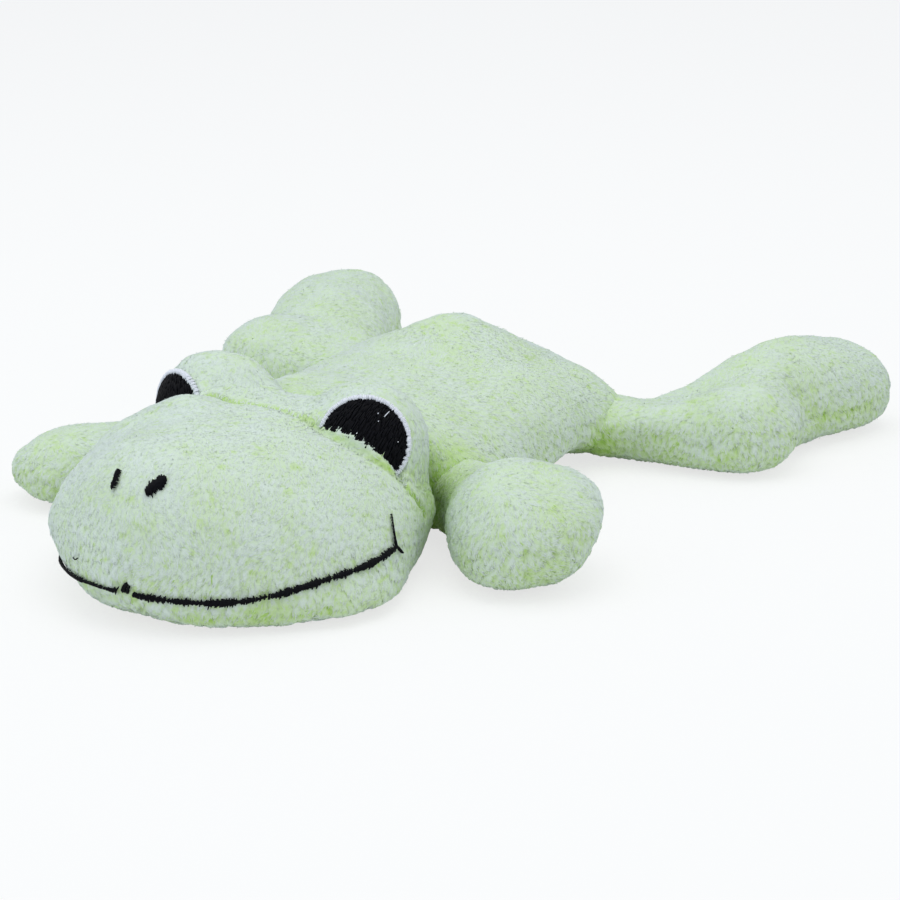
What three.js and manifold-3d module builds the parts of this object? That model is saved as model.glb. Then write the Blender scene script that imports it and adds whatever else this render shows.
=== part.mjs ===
// A floppy plush frog lying on its belly: body, head, arms and legs of short pile cloth, each of
// sewn panels round loose stuffing, with pellet bags in the belly, hands and feet.
// The frog faces -Y and its left side is +X. It rests on the plane z = 0. Units are millimetres.
// The origin is the middle of the belly's flat rest face.
import * as THREE from 'three';
import { mergeVertices } from 'three/addons/utils/BufferGeometryUtils.js';
import Module from 'manifold-3d';

const wasm = await Module();
wasm.setup();

// Cloth, seams and fits
const cloth = 2.2;
const seamGap = 0.3;
const jointGap = 0.5;
const restCut = 0.5;
const overrun = 60;
const mergeTolerance = 0.001;

// Body, from the neck to the rump
const bodyFront = -50;
const bodyRear = 92;
const bodyHalfWidth = 50;
const bodyHeight = 46;
const bodySeamHeight = 16;
const bodyShoulderRound = 24;
const bodyRumpRound = 34;
const bodyNeckRound = 8;
const bodyTailRound = 38;
const bodyHemRound = 28;
const bodyWidthShares = [0.84, 0.96, 1, 1, 1, 1, 1.03, 1];
const bodyHeightShares = [1, 0.97, 0.95, 0.95, 0.96, 0.94, 0.87, 0.74];

// The hump on the back, where the stuffing has gathered
const humpX = 2;
const humpY = 42;
const humpHeight = 50;
const humpHalfWidth = 27;
const humpHalfLength = 24;
const humpDepth = 21;

// Head, from the neck to the tip of the snout
const headRear = -44;
const snoutTip = -148.5;
const headHalfWidth = 57.5;
const headHeight = 50;
const headSeamHeight = 15;
const headCheekRound = 28;
const headNapeRound = 8;
const headHemRound = 14;
const snoutWidthRound = 61;
const snoutTopRound = 24;
const snoutChinRound = 24;
const headHeightShares = [0.95, 0.96, 0.98, 1, 1, 1, 0.98, 0.96];
const chinSeamHeight = 6;
const muzzleSeamY = -75;
const muzzleSeamBow = 15;

// Neck hinge
const neckY = -50.5;
const neckZ = 37;
const neckRadius = 8;
const neckHalfWidth = 28;

// Eyes: half discs of satin stitch on domes, which the muzzle's edge cuts off below
const eyeX = 34.3;
const eyeY = -68.5;
const eyeZ = 40.8;
const eyeRadius = 13.7;
const eyeDomeRadius = 20;
const eyeRimWidth = 1.7;
const eyeTurn = 26.5;
const eyeTilt = 13.5;
const stitchHeight = 1;
const stitchLift = 0.6;

// Nostrils and mouth, satin stitch on the muzzle
const nostrilX = 6.6;
const nostrilY = -136;
const nostrilHalfLength = 3.9;
const nostrilHalfWidth = 1.9;
const nostrilTurn = 28;
const mouthCentreY = -88;
const mouthCentreZ = 12.2;
const mouthRise = 5.2;
const mouthWidth = 2;
const mouthCornerStroke = 8;
const mouthCornerTail = 3.5;

// Arms
const shoulderX = 49.5;
const shoulderY = -30;
const shoulderZ = 16;
const shoulderRadius = 11.5;
const shoulderHalfWidth = 12.5;
const leftArmLength = 63.5;
const rightArmLength = 66;
const armTurn = 35.5;
const handHalfWidth = 22.5;
const handTipRound = 28;
const handHemRound = 24;
const leftHandHeight = 37;
const rightHandHeight = 25;
const armWidthShares = [0.5, 0.56, 0.8, 0.98, 1, 1];
const leftArmHeightShares = [0.68, 0.8, 0.94, 1, 1, 0.97];
const rightArmHeightShares = [1, 1, 1, 1, 1, 0.97];
const handSeamShare = 0.42;

// Legs: a short thigh that widens into a heel, and a long foot that points back
const hipX = 50;
const hipY = 69;
const hipZ = 16;
const hipRadius = 11;
const hipHalfWidth = 13;
const leftHeelReach = 60;
const rightHeelReach = 60.5;
const leftHeelSweep = 17;
const rightHeelSweep = 5;
const leftHeelHalfWidth = 19;
const rightHeelHalfWidth = 22;
const heelHeight = 34;
const heelTipRound = 22;
const footLength = 90;
const leftFootReach = 50;
const rightFootReach = 55.5;
const leftFootHalfWidth = 19;
const rightFootHalfWidth = 23;
const footHeight = 34;
const footTipRound = 24;
const footHemRound = 18;
const legSeamHeight = 13;
const heelWidthShares = [0.6, 0.6, 0.76, 0.97, 1, 0.95];
const heelHeightShares = [0.72, 0.7, 0.8, 0.97, 1, 0.95];
const footWidthShares = [0.5, 0.76, 0.97, 1, 1, 1];
const footHeightShares = [0.68, 0.86, 0.97, 1, 0.97, 0.94];
const heelPathShares = [[0, 0], [0.25, 0.03], [0.67, 0.58], [1, 1]];
const footPathShares = [[0.1, 0], [0.52, 0.22], [0.8, 0.49], [0.96, 0.76], [1, 1]];

// Pellet bags: each lies on the cloth under the stuffing
const bellyBagHalfLength = 37;
const bellyBagHalfWidth = 31;
const bellyBagHeight = 15;
const bellyBagY = 16;
const handBagRadius = 13;
const handBagHeight = 11;
const footBagRadius = 12;
const footBagHeight = 13;
const bagSinkShare = 0.35;

// Joint ranges in degrees that the forms are cut clear for
const neckRange = [-10, 20];
const shoulderRange = [-30, 50];
const hipRange = [-30, 50];

const lime = '#c6dcc4';
const limeShade = '#b4d0ad';
const black = '#15161b';
const white = '#e4ebee';
const wadding = '#eeeeea';
const bagCloth = '#d8d8d2';

const up = new THREE.Vector3(0, 0, 1);
const radians = THREE.MathUtils.degToRad;

function toSolid(geometry) {
  const plain = geometry.index ? geometry.clone() : mergeVertices(geometry);
  plain.deleteAttribute('normal');
  plain.deleteAttribute('uv');
  const merged = mergeVertices(plain, mergeTolerance);
  const corners = merged.index.array;
  const triangles = [];
  for (let i = 0; i < corners.length; i += 3) {
    const [a, b, c] = corners.slice(i, i + 3);
    if (a !== b && b !== c && c !== a) triangles.push(a, b, c);
  }
  return new wasm.Manifold(new wasm.Mesh({
    numProp: 3,
    vertProperties: new Float32Array(merged.attributes.position.array),
    triVerts: new Uint32Array(triangles),
  }));
}

function toGeometry(solid) {
  const { vertProperties, triVerts } = solid.getMesh();
  const geometry = new THREE.BufferGeometry();
  geometry.setAttribute('position', new THREE.BufferAttribute(Float32Array.from(vertProperties), 3));
  geometry.setIndex(new THREE.BufferAttribute(Uint32Array.from(triVerts), 1));
  geometry.computeVertexNormals();
  return geometry;
}

function toMesh(name, solid, color, roughness = 0.95) {
  const material = new THREE.MeshStandardMaterial({ color, roughness, metalness: 0 });
  const mesh = new THREE.Mesh(toGeometry(solid), material);
  mesh.name = name;
  return mesh;
}

// How far a form has swelled at a distance from its drawn-in end, as a share of its full size.
function swell(distance, round, power = 2) {
  const left = 1 - Math.max(distance, 0) / round;
  return left <= 0 ? 1 : (1 - left ** power) ** (1 / power);
}

// A share between two neighbours of a row of shares, eased from one to the next.
function between(shares, part) {
  const at = THREE.MathUtils.clamp(part, 0, 1) * (shares.length - 1);
  const i = Math.min(Math.floor(at), shares.length - 2);
  return THREE.MathUtils.lerp(shares[i], shares[i + 1], THREE.MathUtils.smoothstep(at - i, 0, 1));
}

// A stuffed form: oval rings along a path in plan, drawn in to a point at both ends.
// inset gives the same form smaller all round, or larger where it is negative.
function stuffed(form, inset = 0, sides = form.sides) {
  const path = new THREE.CatmullRomCurve3(form.path.map(([x, y]) => new THREE.Vector3(x, y, 0)));
  const length = path.getLength();
  const middle = length - form.start.round - form.end.round;
  const stops = [];
  for (let i = 0; i < form.startRings; i += 1) {
    stops.push(form.start.round * (1 - Math.cos((Math.PI * i) / 2 / form.startRings)));
  }
  for (let i = 0; i < form.middleRings; i += 1) {
    stops.push(form.start.round + (middle * i) / form.middleRings);
  }
  for (let i = form.endRings; i >= 0; i -= 1) {
    stops.push(length - form.end.round * (1 - Math.cos((Math.PI * i) / 2 / form.endRings)));
  }
  const points = [];
  stops.forEach((stop, ring) => {
    const part = stop / length;
    const inner = inset + (length - 2 * inset) * part;
    const centre = path.getPointAt(THREE.MathUtils.clamp(inner / length, 0, 1));
    const tangent = path.getTangentAt(part);
    centre.addScaledVector(tangent, Math.min(inner, 0) + Math.max(inner - length, 0));
    if (ring === 0 || ring === stops.length - 1) {
      points.push([centre.x, centre.y, form.seam]);
      return;
    }
    const leftward = new THREE.Vector3().crossVectors(up, tangent);
    const swelled = (start, end, power) => swell(stop, start) * swell(length - stop, end, power);
    const half = Math.max(form.halfWidth * between(form.widthShares, part) - inset, mergeTolerance)
      * swelled(form.start.round, form.end.round, form.end.power);
    const rise = (form.height * between(form.heightShares, part) - form.seam - inset)
      * swelled(form.start.top, form.end.top);
    const fall = (form.seam + restCut - inset) * swelled(form.start.hem, form.end.hem);
    for (let k = 0; k < sides; k += 1) {
      const angle = (2 * Math.PI * k) / sides;
      const power = Math.sin(angle) > 0 ? form.topPower : form.hemPower;
      const across = Math.sign(Math.cos(angle)) * Math.abs(Math.cos(angle)) ** (2 / power);
      const rising = Math.sign(Math.sin(angle)) * Math.abs(Math.sin(angle)) ** (2 / power);
      points.push([
        centre.x - leftward.x * across * half,
        centre.y - leftward.y * across * half,
        form.seam + rising * (rising > 0 ? rise : fall),
      ]);
    }
  });
  const triangles = [];
  const last = points.length - 1;
  const ringStart = (ring) => 1 + (ring - 1) * sides;
  for (let k = 0; k < sides; k += 1) {
    const next = (k + 1) % sides;
    triangles.push([0, 1 + k, 1 + next]);
    for (let ring = 1; ring < stops.length - 2; ring += 1) {
      const [a, b] = [ringStart(ring) + k, ringStart(ring) + next];
      const [c, d] = [ringStart(ring + 1) + k, ringStart(ring + 1) + next];
      triangles.push([a, c, b], [b, c, d]);
    }
    triangles.push([ringStart(stops.length - 2) + k, last, ringStart(stops.length - 2) + next]);
  }
  return new wasm.Manifold(new wasm.Mesh({
    numProp: 3,
    vertProperties: new Float32Array(points.flat()),
    triVerts: new Uint32Array(triangles.flat()),
  }));
}

// A sphere that named sizes scale, turned and then moved to its place.
function oval(centre, scale, widthSegments, heightSegments, turn = new THREE.Quaternion()) {
  const geometry = new THREE.SphereGeometry(1, widthSegments, heightSegments);
  geometry.scale(...scale);
  geometry.applyQuaternion(turn);
  geometry.translate(centre.x, centre.y, centre.z);
  return toSolid(geometry);
}

// A roll round a hinge axis: it turns in its socket without changing the space it fills.
function hingeRoll({ pivot, axis, radius, halfWidth }, grown) {
  const turn = new THREE.Quaternion().setFromUnitVectors(new THREE.Vector3(0, 1, 0), axis);
  return oval(pivot, [radius + grown, halfWidth + grown, radius + grown], 12, 6, turn);
}

// A piece cut back from its hinge by two planes, so that it clears its neighbour through its range.
function cutClear(piece, hinge, range, setback) {
  const outward = new THREE.Vector3().crossVectors(up, hinge.axis).normalize();
  return range.reduce((kept, limit) => {
    const normal = outward.clone().applyAxisAngle(hinge.axis, -radians(limit));
    return kept.trimByPlane(normal.toArray(), normal.dot(hinge.pivot) + setback);
  }, piece);
}

const rested = (solid) => solid.trimByPlane([0, 0, 1], 0);
const above = (solid, height) => solid.trimByPlane([0, 0, 1], height + seamGap / 2);
const below = (solid, height) => solid.trimByPlane([0, 0, -1], seamGap / 2 - height);

// A cloth shell round a cavity: form makes the solid at an inset, at a number of sides.
const shell = (form, innerSides) => rested(form(0)).subtract(form(cloth, innerSides));
const lining = (form, innerSides) => form(cloth + seamGap, innerSides);

// A pellet bag at a place in plan, which lies on the cloth under the stuffing and takes its shape
// there, and the stuffing that is left over it.
function pelletBag(stuffing, [x, y], [halfWidth, halfLength, height]) {
  const sink = height * bagSinkShare;
  const centre = new THREE.Vector3(x, y, cloth + seamGap + sink);
  const make = (grown) => oval(
    centre,
    [halfWidth + grown, halfLength + grown, height - sink + grown],
    10,
    6,
  );
  return [stuffing.intersect(make(0)), stuffing.subtract(make(seamGap))];
}

// A flat ribbon of stitches laid along points on a surface, each with its outward normal.
function ribbon(points, width, height) {
  const corners = [];
  points.forEach(({ point, normal }, i) => {
    const before = points[Math.max(i - 1, 0)].point;
    const after = points[Math.min(i + 1, points.length - 1)].point;
    const tangent = new THREE.Vector3().subVectors(after, before);
    const across = new THREE.Vector3().crossVectors(tangent, normal).setLength(width / 2);
    [[1, 0], [1, 1], [-1, 1], [-1, 0]].forEach(([side, rise]) => {
      const corner = point.clone().addScaledVector(across, side).addScaledVector(normal, rise * height);
      corners.push(...corner.toArray());
    });
  });
  const triangles = [0, 1, 2, 0, 2, 3];
  for (let i = 0; i < points.length - 1; i += 1) {
    for (let k = 0; k < 4; k += 1) {
      const [a, b] = [i * 4 + k, i * 4 + ((k + 1) % 4)];
      triangles.push(a, a + 4, b, b, a + 4, b + 4);
    }
  }
  const last = (points.length - 1) * 4;
  triangles.push(last, last + 2, last + 1, last, last + 3, last + 2);
  return new wasm.Manifold(new wasm.Mesh({
    numProp: 3,
    vertProperties: new Float32Array(corners),
    triVerts: new Uint32Array(triangles),
  }));
}

const bodyForm = {
  path: [[0, bodyFront], [0, (bodyFront + bodyRear) / 2], [0, bodyRear]],
  halfWidth: bodyHalfWidth, widthShares: bodyWidthShares,
  height: bodyHeight, heightShares: bodyHeightShares, seam: bodySeamHeight,
  start: { round: bodyShoulderRound, top: bodyNeckRound, hem: bodyNeckRound },
  end: { round: bodyRumpRound, top: bodyTailRound, hem: bodyHemRound },
  topPower: 2.2, hemPower: 3,
  startRings: 3, middleRings: 5, endRings: 4, sides: 18,
};

const headForm = {
  path: [[0, headRear], [0, (headRear + snoutTip) / 2], [0, snoutTip]],
  halfWidth: headHalfWidth, widthShares: [1, 1],
  height: headHeight, heightShares: headHeightShares, seam: headSeamHeight,
  start: { round: headCheekRound, top: headNapeRound, hem: headHemRound },
  end: { round: snoutWidthRound, top: snoutTopRound, hem: snoutChinRound, power: 1.75 },
  topPower: 1.85, hemPower: 7,
  startRings: 3, middleRings: 2, endRings: 7, sides: 20,
};

const armLength = (side) => (side > 0 ? leftArmLength : rightArmLength);

// A place in plan at a length along an arm from its shoulder.
function alongArm(side, length) {
  const turn = radians(armTurn);
  return [side * (shoulderX + Math.cos(turn) * length), shoulderY - Math.sin(turn) * length];
}

function armForm(side) {
  const height = side > 0 ? leftHandHeight : rightHandHeight;
  const length = armLength(side);
  return {
    path: [-shoulderRadius / 2, length / 2, length].map((at) => alongArm(side, at)),
    halfWidth: handHalfWidth, widthShares: armWidthShares,
    height, heightShares: side > 0 ? leftArmHeightShares : rightArmHeightShares,
    seam: height * handSeamShare,
    start: { round: shoulderRadius, top: shoulderRadius, hem: shoulderRadius },
    end: { round: handTipRound, top: handTipRound, hem: handHemRound },
    topPower: 2.1, hemPower: 2.2,
    startRings: 2, middleRings: 3, endRings: 4, sides: 14,
  };
}

function legForms(side) {
  const sweep = side > 0 ? leftHeelSweep : rightHeelSweep;
  const heelReach = side > 0 ? leftHeelReach : rightHeelReach;
  const footReach = side > 0 ? leftFootReach : rightFootReach;
  const shared = {
    seam: legSeamHeight, topPower: 2.2, hemPower: 2.5, startRings: 1, middleRings: 4, endRings: 4, sides: 12,
    start: { round: hipRadius, top: hipRadius, hem: hipRadius },
  };
  const heel = {
    ...shared,
    path: heelPathShares.map(([x, y]) => [side * (hipX + heelReach * x), hipY + sweep * y]),
    halfWidth: side > 0 ? leftHeelHalfWidth : rightHeelHalfWidth, widthShares: heelWidthShares,
    height: heelHeight, heightShares: heelHeightShares,
    end: { round: heelTipRound, top: heelTipRound, hem: footHemRound },
  };
  const foot = {
    ...shared,
    path: footPathShares.map(([x, y]) => [side * (hipX + footReach * x), hipY + footLength * y]),
    halfWidth: side > 0 ? leftFootHalfWidth : rightFootHalfWidth, widthShares: footWidthShares,
    height: footHeight, heightShares: footHeightShares,
    end: { round: footTipRound, top: footTipRound, hem: footHemRound },
  };
  return [heel, foot];
}

// Hinges: each lifts what it carries when it turns the positive way.
const neck = {
  pivot: new THREE.Vector3(0, neckY, neckZ),
  axis: new THREE.Vector3(-1, 0, 0),
  radius: neckRadius, halfWidth: neckHalfWidth,
};
const shoulder = (side) => ({
  pivot: new THREE.Vector3(side * shoulderX, shoulderY, shoulderZ),
  axis: new THREE.Vector3(-Math.sin(radians(armTurn)), -side * Math.cos(radians(armTurn)), 0),
  radius: shoulderRadius, halfWidth: shoulderHalfWidth,
});
const hip = (side) => ({
  pivot: new THREE.Vector3(side * hipX, hipY, hipZ),
  axis: new THREE.Vector3(0, -side, 0),
  radius: hipRadius, halfWidth: hipHalfWidth,
});

// Eye domes
const eyeNormal = (side) => new THREE.Vector3(
  side * Math.sin(radians(eyeTurn)) * Math.cos(radians(eyeTilt)),
  -Math.cos(radians(eyeTurn)) * Math.cos(radians(eyeTilt)),
  Math.sin(radians(eyeTilt)),
);
const domeDepth = Math.sqrt(eyeDomeRadius ** 2 - eyeRadius ** 2);
const domeCentre = (side) => new THREE.Vector3(side * eyeX, eyeY, eyeZ)
  .addScaledVector(eyeNormal(side), -domeDepth);
function domes(grown, segments = 14) {
  const [left, right] = [1, -1].map((side) => {
    const radius = eyeDomeRadius + grown;
    return oval(domeCentre(side), [radius, radius, radius], segments, segments / 2);
  });
  return left.add(right);
}

const frog = new THREE.Group();

// Body
const hinges = [neck, shoulder(1), shoulder(-1), hip(1), hip(-1)];
const humpCentre = new THREE.Vector3(humpX, humpY, humpHeight - humpDepth);
const body = (inset, sides) => {
  const humpSizes = [humpHalfWidth - inset, humpHalfLength - inset, humpDepth - inset];
  const hump = oval(humpCentre, humpSizes, 12, 8);
  return stuffed(bodyForm, inset, sides).add(hump);
};
const lessRolls = (solid, gap) => hinges.reduce((kept, hinge) => kept.subtract(hingeRoll(hinge, gap)), solid);
const domeOffset = Math.hypot(domeCentre(1).y - neckY, domeCentre(1).z - neckZ);
const domeTravel = domeOffset * radians(Math.max(...neckRange.map(Math.abs)));
const lessDomes = (solid, inset) => solid.subtract(domes(jointGap + domeTravel + inset));
const bodyShell = lessRolls(rested(lessDomes(body(0), 0)).subtract(lessDomes(body(cloth, 10), cloth)), jointGap);
const bellyBagSizes = [bellyBagHalfWidth, bellyBagHalfLength, bellyBagHeight];
const bodyLining = lessRolls(lessDomes(lining(body, 10), cloth), jointGap + cloth);
const [bellyBag, bodyStuffing] = pelletBag(bodyLining, [0, bellyBagY], bellyBagSizes);
frog.add(toMesh('body_back_panel', above(bodyShell, bodySeamHeight), lime));
frog.add(toMesh('body_belly_panel', below(bodyShell, bodySeamHeight), limeShade));
frog.add(toMesh('body_stuffing', bodyStuffing, wadding));
frog.add(toMesh('belly_pellet_bag', bellyBag, bagCloth, 0.8));

// Head: the crown carries the eye domes, and the muzzle panel lies in front of it over the chin
const head = (inset, sides) => cutClear(stuffed(headForm, inset, sides), neck, neckRange, jointGap + inset)
  .add(domes(-inset, inset > 0 ? 10 : 14));
const headShell = shell(head, 10).add(hingeRoll(neck, 0));

function muzzleRegion(grown) {
  const reach = headHalfWidth + cloth;
  const seamAt = (x) => muzzleSeamY + muzzleSeamBow * (x / headHalfWidth) ** 2 + grown;
  const outline = [[-reach, snoutTip - cloth]];
  for (let i = -4; i <= 4; i += 1) outline.push([(reach * i) / 4, seamAt((reach * i) / 4)]);
  outline.push([reach, snoutTip - cloth]);
  const shape = new THREE.Shape(outline.map(([x, y]) => new THREE.Vector2(x, y)));
  const geometry = new THREE.ExtrudeGeometry(shape, { depth: headHeight + overrun, bevelEnabled: false });
  return toSolid(geometry);
}
const headUpper = above(headShell, chinSeamHeight);
frog.add(toMesh('head_crown_panel', headUpper.subtract(muzzleRegion(seamGap).subtract(domes(0))), lime));
frog.add(toMesh('head_muzzle_panel', headUpper.intersect(muzzleRegion(0)).subtract(domes(seamGap)), lime));
frog.add(toMesh('head_chin_panel', below(headShell, chinSeamHeight), limeShade));
frog.add(toMesh('head_stuffing', lining(head, 10).subtract(hingeRoll(neck, seamGap)), wadding));

// Eyes: a satin pupil and its rim lie on each dome and end at the muzzle's surface
const faceClear = stuffed(headForm, -seamGap);
function eyeStitch(side, innerRadius, outerRadius) {
  const low = eyeDomeRadius + stitchLift;
  const high = low + stitchHeight;
  const arc = (radius) => [0, 0.5, 1].map((share) => {
    const across = THREE.MathUtils.lerp(innerRadius, outerRadius, share);
    return new THREE.Vector2(across, Math.sqrt(radius ** 2 - across ** 2));
  });
  const profile = [...arc(low), ...arc(high).reverse()];
  if (innerRadius > 0) profile.push(profile[0]);
  const geometry = new THREE.LatheGeometry(profile, 16);
  geometry.applyQuaternion(new THREE.Quaternion().setFromUnitVectors(new THREE.Vector3(0, 1, 0), eyeNormal(side)));
  const centre = domeCentre(side);
  geometry.translate(centre.x, centre.y, centre.z);
  return toSolid(geometry).subtract(faceClear);
}

// Places on the head's surface, found by looking in from outside
const face = new THREE.Mesh(toGeometry(stuffed(headForm)), new THREE.MeshStandardMaterial());
function onFace(from, direction) {
  const [hit] = new THREE.Raycaster(from, direction).intersectObject(face);
  return { point: hit.point, normal: hit.face.normal };
}
function mouthPoint(share, rise = 0) {
  const angle = (Math.PI / 2) * share;
  const outward = new THREE.Vector3(Math.sin(angle), -Math.cos(angle), 0);
  const height = mouthCentreZ + mouthRise * share ** 2 + rise;
  const from = new THREE.Vector3(0, mouthCentreY, height).addScaledVector(outward, overrun + headHalfWidth);
  return onFace(from, outward.negate());
}
function nostril(side) {
  const top = headHeight + overrun;
  const { point, normal } = onFace(new THREE.Vector3(side * nostrilX, nostrilY, top), up.clone().negate());
  const turn = radians(nostrilTurn);
  const along = new THREE.Vector3(side * Math.sin(turn), Math.cos(turn), 0);
  const across = new THREE.Vector3().crossVectors(normal, along).normalize();
  const lengthways = new THREE.Vector3().crossVectors(across, normal);
  const basis = new THREE.Matrix4().makeBasis(across, lengthways, normal);
  const turned = new THREE.Quaternion().setFromRotationMatrix(basis);
  const sizes = [nostrilHalfWidth, nostrilHalfLength, stitchHeight + seamGap];
  return oval(point, sizes, 10, 6, turned).subtract(faceClear);
}

const strokeShares = [0, 0.5, 1];
const mouthLine = [];
for (let i = -14; i <= 14; i += 1) mouthLine.push(mouthPoint(i / 14));
const mouthStrokes = [-1, 1].map((side) => {
  const heights = strokeShares.map((share) => THREE.MathUtils.lerp(-mouthCornerTail, mouthCornerStroke, share));
  return ribbon(heights.map((rise) => mouthPoint(side, rise)), mouthWidth, stitchHeight + seamGap);
});
const mouth = mouthStrokes.reduce(
  (solid, stroke) => solid.add(stroke),
  ribbon(mouthLine, mouthWidth, stitchHeight + seamGap),
);
frog.add(toMesh('mouth_stitch', mouth.subtract(faceClear), black, 0.5));

for (const side of [1, -1]) {
  const word = side > 0 ? 'left' : 'right';
  const pupilRadius = eyeRadius - eyeRimWidth;
  frog.add(toMesh(`eye_pupil_${word}`, eyeStitch(side, 0, pupilRadius), black, 0.4));
  frog.add(toMesh(`eye_rim_${word}`, eyeStitch(side, pupilRadius + seamGap, eyeRadius + seamGap), white, 0.5));
  frog.add(toMesh(`nostril_${word}`, nostril(side), black, 0.4));

  // Arm: its bag lies in the hand, as far from the tip as the hand is wide
  const arm = (inset, sides) => cutClear(
    stuffed(armForm(side), inset, sides),
    shoulder(side),
    shoulderRange,
    jointGap + inset,
  );
  const armRoll = hingeRoll(shoulder(side), 0);
  const armShell = shell(arm, 7).add(armRoll);
  const armSeam = armForm(side).seam;
  const [handBag, armStuffing] = pelletBag(
    lining(arm, 7).subtract(hingeRoll(shoulder(side), seamGap)),
    alongArm(side, armLength(side) - handHalfWidth),
    [handBagRadius, handBagRadius, handBagHeight],
  );
  frog.add(toMesh(`arm_top_panel_${word}`, above(armShell, armSeam), lime));
  frog.add(toMesh(`arm_under_panel_${word}`, below(armShell, armSeam), limeShade));
  frog.add(toMesh(`arm_stuffing_${word}`, armStuffing, wadding));
  frog.add(toMesh(`hand_pellet_bag_${word}`, handBag, bagCloth, 0.8));

  // Leg: its bag lies in the foot, as far from the tip as the foot is wide
  const leg = (inset, sides) => {
    const [heel, foot] = legForms(side).map((form) => stuffed(form, inset, sides));
    return cutClear(heel.add(foot), hip(side), hipRange, jointGap + inset);
  };
  const legShell = shell(leg, 6).add(hingeRoll(hip(side), 0));
  const [, footForm] = legForms(side);
  const [toeX, toeY] = footForm.path[footForm.path.length - 1];
  const [footBag, legStuffing] = pelletBag(
    lining(leg, 6).subtract(hingeRoll(hip(side), seamGap)),
    [toeX, toeY - footForm.halfWidth],
    [footBagRadius, footBagRadius, footBagHeight],
  );
  frog.add(toMesh(`leg_top_panel_${word}`, above(legShell, legSeamHeight), lime));
  frog.add(toMesh(`leg_under_panel_${word}`, below(legShell, legSeamHeight), limeShade));
  frog.add(toMesh(`leg_stuffing_${word}`, legStuffing, wadding));
  frog.add(toMesh(`foot_pellet_bag_${word}`, footBag, bagCloth, 0.8));
}

export default frog;
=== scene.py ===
import math

import bpy
import numpy as np
from mathutils import Matrix, Vector
from mathutils.bvhtree import BVHTree
from mathutils.kdtree import KDTree


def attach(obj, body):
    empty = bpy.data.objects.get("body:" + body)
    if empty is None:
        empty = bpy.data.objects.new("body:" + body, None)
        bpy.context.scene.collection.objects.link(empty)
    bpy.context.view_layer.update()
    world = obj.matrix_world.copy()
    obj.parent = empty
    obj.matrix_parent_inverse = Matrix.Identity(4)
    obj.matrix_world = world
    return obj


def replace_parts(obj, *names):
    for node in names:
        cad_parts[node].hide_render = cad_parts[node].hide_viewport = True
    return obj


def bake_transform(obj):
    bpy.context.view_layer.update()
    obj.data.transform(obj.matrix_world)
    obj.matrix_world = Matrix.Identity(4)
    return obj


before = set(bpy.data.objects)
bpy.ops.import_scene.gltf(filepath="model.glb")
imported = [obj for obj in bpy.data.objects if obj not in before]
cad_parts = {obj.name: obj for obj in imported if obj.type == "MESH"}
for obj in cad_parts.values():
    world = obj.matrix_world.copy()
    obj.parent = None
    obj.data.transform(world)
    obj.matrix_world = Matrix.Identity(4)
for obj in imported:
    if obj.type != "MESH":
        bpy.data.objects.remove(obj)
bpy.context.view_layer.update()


# Stage: a plain pale floor, a soft white surround and the camera. The camera stands to the frog's
# left front and a little above it, as the photograph was taken. None of this is part of the toy.
def linear(code):
    """A colour written as an sRGB hex value, as the linear values that a shader takes."""
    parts = [int(code[i:i + 2], 16) / 255 for i in (1, 3, 5)]
    return tuple(c / 12.92 if c <= 0.04045 else ((c + 0.055) / 1.055) ** 2.4 for c in parts) + (1,)


def add_node(tree, kind, inputs=None, **settings):
    """A node with its settings, whose inputs are values or other nodes' output sockets."""
    node = tree.nodes.new(kind)
    for name, value in settings.items():
        setattr(node, name, value)
    for name, value in (inputs or {}).items():
        if isinstance(value, bpy.types.NodeSocket):
            tree.links.new(value, node.inputs[name])
        else:
            node.inputs[name].default_value = value
    return node


def new_material(name):
    """A material without nodes so far."""
    material = bpy.data.materials.new(name)
    material.use_nodes = True
    material.node_tree.nodes.clear()
    return material


def placed(name, data):
    """A new object with this data, put into the scene."""
    thing = bpy.data.objects.new(name, data)
    bpy.context.collection.objects.link(thing)
    return thing


azimuth, elevation, roll = (math.radians(a) for a in (30.67, 17.63, -0.41))
target, distance = (0.02737, -0.00608, 0.020), 0.8968
camera_data = bpy.data.cameras.new("camera")
camera_data.lens, camera_data.sensor_width, camera_data.clip_start = 111.15, 36, 0.01
camera = placed("camera", camera_data)
facing = Matrix.Rotation(azimuth, 4, "Z") @ Matrix.Rotation(math.pi / 2 - elevation, 4, "X")
back = Matrix.Translation((0, 0, distance))
camera.matrix_world = Matrix.Translation(target) @ facing @ Matrix.Rotation(roll, 4, "Z") @ back
bpy.context.scene.camera = camera
bpy.context.scene.view_settings.view_transform = "Standard"

bpy.ops.mesh.primitive_plane_add(size=6, location=(0, 0, -0.0002))
floor = bpy.context.object
floor.name = "floor"

# Matt white paper, hung as a sweep: it has no shine or pattern. For the camera and for what shines,
# the share shown_white of it is plain white, and the rest takes the toy's shadow.
shown_white = 0.72
floor_paint = new_material("white paper sweep")
tree = floor_paint.node_tree
paper = add_node(tree, "ShaderNodeBsdfDiffuse", {"Color": linear("#f4f5f4")})
glow = add_node(tree, "ShaderNodeEmission", {"Color": (1, 1, 1, 1), "Strength": 1.0})
path = add_node(tree, "ShaderNodeLightPath")
seen = add_node(tree, "ShaderNodeMath", {
    0: path.outputs["Is Camera Ray"], 1: path.outputs["Is Glossy Ray"]}, operation="MAXIMUM")
share = add_node(tree, "ShaderNodeMath", {0: seen.outputs[0], 1: shown_white}, operation="MULTIPLY")
floor_mix = add_node(tree, "ShaderNodeMixShader", {
    0: share.outputs[0], 1: paper.outputs[0], 2: glow.outputs[0]})
add_node(tree, "ShaderNodeOutputMaterial", {"Surface": floor_mix.outputs[0]})
floor.data.materials.append(floor_paint)

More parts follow.
